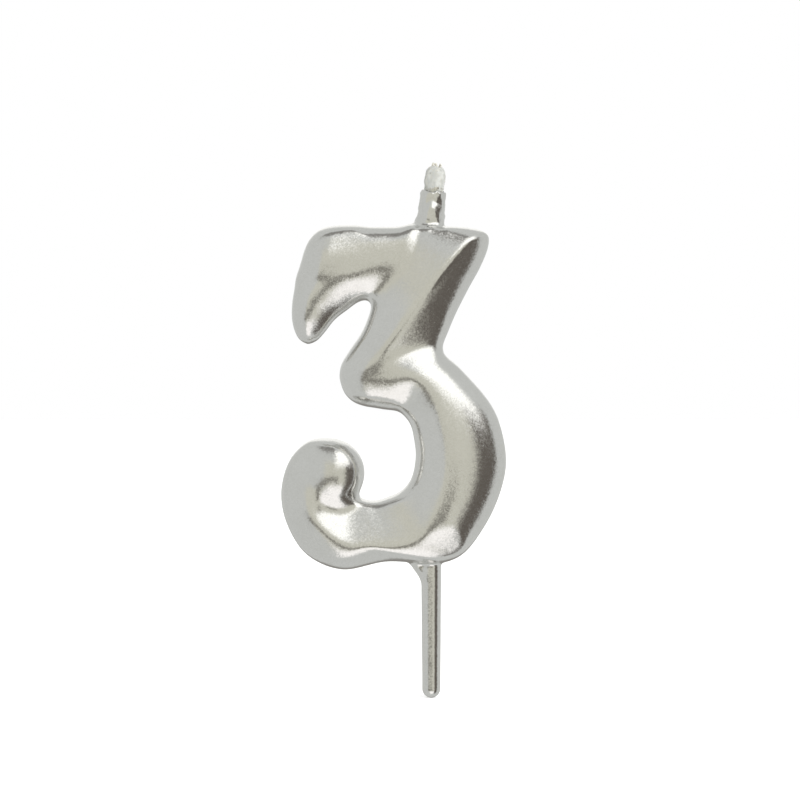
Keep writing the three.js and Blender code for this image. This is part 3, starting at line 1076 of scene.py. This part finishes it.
@dataclass(frozen=True)
class PrimingWaxFinish:
    """Hard white wax round the wick, a little frosted, with silver caught at the film's edge."""

    wax: Colour = (0.6, 0.605, 0.58)
    deep: Colour = (0.47, 0.475, 0.45)
    speck: Colour = (0.16, 0.155, 0.14)
    smeared: Colour = (0.66, 0.65, 0.6)
    smear_depth: float = 3.2

    def material(self, edge: float) -> bpy.types.Material:
        """Build the material.

        Args:
            edge: z of the film's edge, in millimetres.

        Returns:
            The wax material.
        """
        material, graph, shader = new_material("frosted_priming_wax")
        place = in_millimetres(graph)
        cloud = graph.noise(place, 0.9, 4.0)
        colour = blend(graph, cloud.mapped(0.35, 0.65, 0.0, 1.0), self.deep, self.wax)
        specks = graph.wire("ShaderNodeTexVoronoi", {"Vector": place, "Scale": 1.1}, out="Distance")
        speck = specks.mapped(0.07, 0.13, 0.75, 0.0)
        spotted = blend(graph, speck, colour, self.speck)
        ragged = graph.noise(place, 1.6, 3.0)
        smeared_to = edge + 0.1 + (ragged - 0.5) * self.smear_depth
        smear = (smeared_to - graph.split(place)[2]).mapped(-0.04, 0.04, 0.0, 1.0)
        graph.feed(shader.inputs["Base Color"], blend(graph, smear, spotted, self.smeared))
        graph.feed(shader.inputs["Metallic"], smear * 0.9)
        graph.feed(shader.inputs["Roughness"], 0.42 + (cloud - 0.5) * 0.2 - smear * 0.15)
        soften(shader, 0.35, 0.8 * MM)
        shader.inputs["Subsurface Radius"].default_value = (1.0, 0.9, 0.75)
        frost = graph.noise(place, 5.0, 4.0)
        graph.feed(shader.inputs["Normal"], bump(graph, frost * 0.03 * MM, 0.8))
        return material


@dataclass(frozen=True)
class MouldedWaxFinish:
    """The casting's off-white paraffin, clouded and faintly crystalline."""

    light: Colour = (0.88, 0.86, 0.8)
    dark: Colour = (0.78, 0.76, 0.69)

    def material(self) -> bpy.types.Material:
        """Build the material.

        Returns:
            The paraffin material.
        """
        material, graph, shader = new_material("clouded_paraffin")
        place = in_millimetres(graph)
        cloud = graph.noise(place, 0.25, 5.0)
        grain = graph.wire("ShaderNodeTexVoronoi", {"Vector": place, "Scale": 1.4}, out="Distance")
        share = (cloud * 0.8 + grain * 0.3).clamped(0.0, 1.0)
        graph.feed(shader.inputs["Base Color"], blend(graph, share, self.dark, self.light))
        graph.feed(shader.inputs["Roughness"], 0.5 + (cloud - 0.5) * 0.25)
        soften(shader, 0.3, 2.0 * MM)
        graph.feed(shader.inputs["Normal"], bump(graph, grain * 0.02 * MM, 0.6))
        return material


@dataclass(frozen=True)
class PickWoodFinish:
    """Pale birch with a straight grain along the pick."""

    light: Colour = (0.74, 0.58, 0.38)
    dark: Colour = (0.52, 0.36, 0.2)

    def material(self) -> bpy.types.Material:
        """Build the material.

        Returns:
            The wood material.
        """
        material, graph, shader = new_material("birch_grain")
        place = in_millimetres(graph)
        stretched = graph.vector("MULTIPLY", place, (1.0, 1.0, 0.06))
        grain = graph.noise(stretched, 5.0, 5.0)
        ring = {"Vector": stretched, "Scale": 0.7, "Distortion": 3.0}
        ring = graph.wire("ShaderNodeTexWave", ring, out="Fac")
        share = (grain * 0.7 + ring * 0.3).clamped(0.0, 1.0)
        graph.feed(shader.inputs["Base Color"], blend(graph, share, self.dark, self.light))
        graph.feed(shader.inputs["Roughness"], 0.62 + (grain - 0.5) * 0.3)
        graph.feed(shader.inputs["Normal"], bump(graph, grain * 0.04 * MM, 0.7))
        return material


@dataclass(frozen=True)
class CottonFinish:
    """Waxed cotton yarn."""

    light: Colour = (0.86, 0.84, 0.77)
    dark: Colour = (0.62, 0.59, 0.51)

    def material(self) -> bpy.types.Material:
        """Build the material.

        Returns:
            The cotton material.
        """
        material, graph, shader = new_material("waxed_cotton")
        place = in_millimetres(graph)
        fibre = graph.vector("MULTIPLY", place, (1.0, 1.0, 0.25))
        fuzz = graph.noise(fibre, 22.0, 3.0)
        graph.feed(shader.inputs["Base Color"], blend(graph, fuzz, self.dark, self.light))
        graph.feed(shader.inputs["Roughness"], 0.8 + (fuzz - 0.5) * 0.3)
        shader.inputs["Sheen Weight"].default_value = 0.3
        graph.feed(shader.inputs["Normal"], bump(graph, fuzz * 0.03 * MM, 0.9))
        return material


# ---------------------------------------------------------------- the candle's sub-assemblies


@dataclass
class DipSettings:
    """How the surfaces are worked out, in drawn millimetres.

    The crease, the notch, the rim and the fillet are how softly heights, outlines, walls and bars join.
    """

    sheet_step: float = 0.2
    crease: float = 1.5
    notch: float = 2.2
    rim: float = 3.0
    softening: int = 5
    fillet: float = 1.0
    waviness: float = 0.09
    wave_scale: float = 0.16
    margin: float = 1.5
    no_edge: float = 99.0

    def sheet(self) -> dict[str, Any]:
        """Return the inputs that a numeral's sheet takes."""
        sizes = {"Sheet step": self.sheet_step, "Crease": self.crease, "Notch": self.notch}
        return sizes | {"Rim": self.rim, "Softening": self.softening}

    def field(self) -> dict[str, Any]:
        """Return the inputs of a surface that no film's edge ends."""
        sizes = {"Fillet": self.fillet, "Waviness": self.waviness, "Wave scale": self.wave_scale}
        return sizes | {"Lumps": 0.0, "Film edge": self.no_edge, "Ragged": 0.0}

    def space(self, node: str, unit: float, material: bpy.types.Material) -> dict[str, Any]:
        """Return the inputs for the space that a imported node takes.

        Args:
            node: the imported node.
            unit: metres in one drawn millimetre.
            material: the piece's material.

        Returns:
            The inputs.
        """
        low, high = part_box(node)
        margin = Vector((self.margin,) * 3)
        return {
            "Low": tuple(low / unit - margin),
            "High": tuple(high / unit + margin),
            "Unit": unit,
            "Material": material,
        }


def fit(piece: bpy.types.Object, node: str) -> None:
    """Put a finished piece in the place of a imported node.

    Args:
        piece: the piece.
        node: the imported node.
    """
    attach(piece, BODY)
    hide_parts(node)
    LOG.info("%s: %d points", piece.name, len(piece.data.vertices))


@dataclass
class SilverFilm:
    """The overdip: one skin over the numeral, the foot of the stub and the pick."""

    form: DippedForm
    drawing: Drawing
    settings: DipSettings
    thickness: float = 0.25
    voxel: float = 0.27
    inner_voxel: float = 0.6
    ragged: float = 2.6
    lumps: float = 0.55
    edge_drop: float = 0.35

    def unit(self) -> float:
        """Return metres in one drawn millimetre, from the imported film's width."""
        low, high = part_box("silver_film")
        return (high.x - low.x) / self.drawing.width()

    def edge_height(self) -> float:
        """Return the film's height on the stub, in drawn millimetres above the numeral."""
        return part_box("silver_film")[1].z / self.unit() - self.form.numeral_top - self.edge_drop

    def build(self, material: bpy.types.Material) -> bpy.types.Object:
        """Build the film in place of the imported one.

        Args:
            material: the silver material.

        Returns:
            The film.
        """
        unit = self.unit()
        sizes = self.settings.sheet() | self.settings.field()
        sizes |= self.settings.space("silver_film", unit, material)
        sizes |= {"Voxel": self.voxel, "Inner voxel": self.inner_voxel, "Film": self.thickness}
        sizes |= {"Film edge": self.edge_height(), "Ragged": self.ragged, "Lumps": self.lumps}
        tree = film_tree(self.form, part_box("silver_film")[0].z / unit)
        film = run_tree("dipped_silver_film", self.drawing.mesh(), tree, sizes)
        fit(film, "silver_film")
        return film


@dataclass
class MouldedNumeral:
    """The casting under the film, with sockets for the pick and the stub and a channel for the wick."""

    form: DippedForm
    drawing: Drawing
    settings: DipSettings
    unit: float
    under_film: float = 0.45
    voxel: float = 0.42

    def build(self, material: bpy.types.Material) -> bpy.types.Object:
        """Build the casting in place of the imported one.

        Args:
            material: the paraffin material.

        Returns:
            The casting.
        """
        sizes = self.settings.sheet() | self.settings.field()
        sizes |= self.settings.space("wax_numeral", self.unit, material)
        sizes |= {"Voxel": self.voxel, "Inset": self.under_film}
        casting = run_tree("moulded_wax_figure", self.drawing.mesh(), numeral_tree(self.form), sizes)
        fit(casting, "wax_numeral")
        return casting


@dataclass
class WickStub:
    """The stub of hard white wax that holds the wick up, bare at its tip."""

    form: DippedForm
    settings: DipSettings
    unit: float
    voxel: float = 0.13
    fillet: float = 0.5
    lumps: float = 0.3
    lump_scale: float = 0.8

    def build(self, material: bpy.types.Material) -> bpy.types.Object:
        """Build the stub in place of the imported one.

        Args:
            material: the priming wax material.

        Returns:
            The stub.
        """
        sizes = self.settings.field() | self.settings.space("wick_priming_wax", self.unit, material)
        sizes |= {"Voxel": self.voxel, "Fillet": self.fillet}
        sizes |= {"Waviness": self.lumps, "Wave scale": self.lump_scale}
        stub = run_tree("waxed_wick_stub", bpy.data.meshes.new("empty"), stub_tree(self.form), sizes)
        fit(stub, "wick_priming_wax")
        return stub


@dataclass
class WickStrand:
    """One strand of the flat three-strand plait, laid up from plies."""

    form: DippedForm
    unit: float
    number: int
    radius: float = 0.22
    ply_share: float = 0.54
    plait_width: float = 0.62
    plait_depth: float = 0.46
    plait_pitch: float = 9.0
    foot: float = 14.0
    top: float = 9.38
    plies: int = 3
    lay: float = 2.4
    step: float = 0.3
    samples: int = 600

    def line(self) -> list[Vector]:
        """Space points evenly on the wick's middle line, up through the numeral and out along the stub.

        Returns:
            The points.
        """
        bend = self.form.stub_foot()
        end = bend + self.form.stub_axis() * self.top
        start = Vector((bend.x, 0, self.foot))
        rail = Rail([tuple(start), tuple((start + bend) / 2), tuple(bend), tuple(end)])
        fine = [rail.at(i / self.samples) for i in range(self.samples + 1)]
        reached = [0.0]
        for before, after in zip(fine, fine[1:]):
            reached.append(reached[-1] + (after - before).length)
        count = round(reached[-1] / self.step)
        points, at = [], 0
        for i in range(count + 1):
            wanted = reached[-1] * i / count
            while at < self.samples - 1 and reached[at + 1] < wanted:
                at += 1
            share = (wanted - reached[at]) / (reached[at + 1] - reached[at])
            points.append(fine[at].lerp(fine[at + 1], min(share, 1.0)))
        return points

    def mesh(self) -> bpy.types.Mesh:
        """Build the strand's line as a string of edges in drawn millimetres.

        Returns:
            The line.
        """
        middle = self.line()
        last = len(middle) - 1
        length = sum((after - before).length for before, after in zip(middle, middle[1:]))
        points = []
        for i, point in enumerate(middle):
            way = (middle[min(i + 1, last)] - middle[max(i - 1, 0)]).normalized()
            angle = 2 * math.pi * (length / self.plait_pitch * i / last + (self.number - 1) / 3)
            aside = Vector((way.z, 0, -way.x)) * self.plait_width * math.sin(angle)
            points.append(point + aside + Vector((0, self.plait_depth * math.sin(2 * angle), 0)))
        mesh = bpy.data.meshes.new("strand_line")
        mesh.from_pydata(points, [(i, i + 1) for i in range(len(points) - 1)], [])
        return mesh

    def build(self, material: bpy.types.Material) -> bpy.types.Object:
        """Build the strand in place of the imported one.

        Args:
            material: the cotton material.

        Returns:
            The strand.
        """
        sizes = {"Plies": self.plies, "Ply radius": self.radius * self.ply_share}
        sizes |= {"Lay radius": self.radius * (1 - self.ply_share)}
        sizes |= {"Lay": self.lay, "Unit": self.unit, "Material": material}
        strand = run_tree(f"wick_strand_{self.number}_plies", self.mesh(), yarn_tree(), sizes)
        fit(strand, f"wick_strand_{self.number}")
        return strand


@dataclass
class PackedPiece:
    """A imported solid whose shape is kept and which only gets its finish."""

    node: str
    slot: str

    def dress(self, material: bpy.types.Material) -> bpy.types.Object:
        """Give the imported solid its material.

        Args:
            material: the finish.

        Returns:
            The solid's object.
        """
        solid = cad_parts[self.node]
        solid.data.materials.clear()
        solid.data.materials.append(material)
        LOG.info("%s: packed solid, %s", self.node, material.name)
        return solid


# ---------------------------------------------------------------- the studio


@dataclass(frozen=True)
class Surface:
    """A patch of the room in degrees: turned from the candle's front towards its right, and up."""

    left: float
    right: float
    low: float
    high: float
    colour: Colour
    edge: float

    def share(self, turn: Wire, lift: Wire) -> Wire:
        """Work out how much of the surface is seen in a direction.

        Args:
            turn: degrees from the candle's front towards its right.
            lift: degrees up.

        Returns:
            The share, from 0 to 1, soft at the surface's edges.
        """
        right = turn.mapped(self.right - self.edge, self.right + self.edge, 1.0, 0.0)
        left = turn.mapped(self.left - self.edge, self.left + self.edge, 0.0, 1.0)
        top = lift.mapped(self.high - self.edge, self.high + self.edge, 1.0, 0.0)
        bottom = lift.mapped(self.low - self.edge, self.low + self.edge, 0.0, 1.0)
        return right * left * top * bottom


@dataclass
class Studio:
    """Plain pale floor, a pale room with soft windows, and the camera."""

    floor_colour: Colour = (0.9, 0.9, 0.9)
    floor_glow: float = 0.45
    floor_reach: float = 4.0
    camera_distance: float = 283.3 * MM
    lens: float = 85.0
    aim_right: float = 0.95 * MM
    aim_up: float = 4.44 * MM
    sensor_width: float = 36.0
    room: Colour = (0.66, 0.67, 0.655)
    surfaces: tuple[Surface, ...] = (
        # In front of the candle: ceiling, warm wall, edge of the table, doorway, table top and window.
        Surface(-70, 34, 46, 84, (0.27, 0.265, 0.25), 8.0),
        Surface(-34, 46, -30, 26, (0.69, 0.68, 0.6), 7.0),
        Surface(-44, 14, -21, -9, (0.25, 0.24, 0.21), 4.0),
        Surface(40, 78, -50, 26, (0.14, 0.125, 0.11), 7.0),
        Surface(-24, 34, -64, -28, (1.25, 1.22, 1.2), 7.0),
        Surface(6, 64, 17, 60, (1.5, 1.5, 1.46), 9.0),
        # Behind it, a window over a dark board. Each is given twice, to reach both sides of 180 degrees.
        Surface(158, 220, 8, 44, (1.15, 1.15, 1.12), 8.0),
        Surface(-220, -158, 8, 44, (1.15, 1.15, 1.12), 8.0),
        Surface(158, 220, -46, -8, (0.3, 0.29, 0.27), 8.0),
        Surface(-220, -158, -46, -8, (0.3, 0.29, 0.27), 8.0),
    )
    key_size: Point = (0.5, 0.4)
    key_energy: float = 3.0
    key_way: Place = (0.48, -0.62, 0.62)
    key_distance: float = 0.8

    def build(self) -> None:
        """Build the floor, the room, the key light and the camera."""
        low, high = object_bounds()
        centre = (low + high) / 2
        self.place_camera(centre)
        self.lay_floor(low.z)
        self.surround()
        self.hang_key(centre)
        bpy.context.scene.view_settings.view_transform = "Standard"

    def place_camera(self, centre: Vector) -> None:
        """Put the camera level in front of the candle.

        Args:
            centre: the middle of the candle.
        """
        data = bpy.data.cameras.new("camera")
        data.lens = self.lens
        data.sensor_width = self.sensor_width
        data.clip_start = 0.01
        camera = placed("camera", data)
        camera.location = (centre.x + self.aim_right, -self.camera_distance, centre.z + self.aim_up)
        camera.rotation_euler = (math.pi / 2, 0, 0)
        bpy.context.scene.camera = camera

    def lay_floor(self, height: float) -> None:
        """Lay the floor under the tip of the pick.

        Args:
            height: z of the floor.
        """
        material, _, shader = new_material("studio_floor")
        shader.inputs["Base Color"].default_value = (*self.floor_colour, 1)
        shader.inputs["Roughness"].default_value = 0.9
        shader.inputs["Emission Color"].default_value = (1, 1, 1, 1)
        shader.inputs["Emission Strength"].default_value = self.floor_glow
        reach = self.floor_reach
        corners = [(x * reach, y * reach, height) for x, y in ((-1, -1), (1, -1), (1, 1), (-1, 1))]
        mesh = bpy.data.meshes.new("studio_floor")
        mesh.from_pydata(corners, [], [(0, 1, 2, 3)])
        mesh.materials.append(material)
        floor = placed("studio_floor", mesh)
        floor.visible_glossy = False
        floor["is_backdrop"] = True

    def surround(self) -> None:
        """Make the room: white to the camera, with soft light and dark surfaces to all that it lights."""
        world = bpy.data.worlds.new("studio")
        world.use_nodes = True
        world.node_tree.nodes.clear()
        graph = Graph(world.node_tree)
        x, y, z = graph.split(graph.wire("ShaderNodeTexCoord", out="Generated"))
        turn = graph.math("ARCTAN2", x, y * -1.0) * (180 / math.pi)
        lift = graph.math("ARCSINE", z) * (180 / math.pi)
        colour: Any = self.room
        for surface in self.surfaces:
            colour = blend(graph, surface.share(turn, lift), colour, surface.colour)
        seen = graph.wire("ShaderNodeLightPath", out="Is Camera Ray")
        colour = blend(graph, seen, colour, (1, 1, 1))
        background = graph.add("ShaderNodeBackground", {"Color": colour})
        graph.add("ShaderNodeOutputWorld", {"Surface": background.outputs[0]})
        bpy.context.scene.world = world

    def hang_key(self, centre: Vector) -> None:
        """Hang the soft box that stands for the window's light on the floor.

        Args:
            centre: the middle of the candle.
        """
        data = bpy.data.lights.new("key", "AREA")
        data.shape = "RECTANGLE"
        data.size, data.size_y = self.key_size
        data.energy = self.key_energy
        lamp = placed("key", data)
        way = Vector(self.key_way).normalized()
        lamp.location = centre + way * self.key_distance
        lamp.rotation_euler = (-way).to_track_quat("-Z", "Y").to_euler()
        lamp.visible_camera = False
        lamp.visible_glossy = False


# ---------------------------------------------------------------- main


def main() -> None:
    """Build the candle and its studio."""
    logging.basicConfig(level=logging.INFO, format="%(message)s")
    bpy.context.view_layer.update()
    form, drawing, settings = DippedForm(), Drawing(), DipSettings()
    film = SilverFilm(form, drawing, settings)
    film.build(SilverFinish().material())
    unit = film.unit()
    MouldedNumeral(form, drawing, settings, unit).build(MouldedWaxFinish().material())
    edge = (form.numeral_top + film.edge_height()) * unit / MM
    WickStub(form, settings, unit).build(PrimingWaxFinish().material(edge))
    cotton = CottonFinish().material()
    for number in (1, 2, 3):
        WickStrand(form, unit, number).build(cotton)
    PackedPiece("wooden_pick", "pick_wood").dress(PickWoodFinish().material())
    Studio().build()


if __name__ == "__main__":
    main()
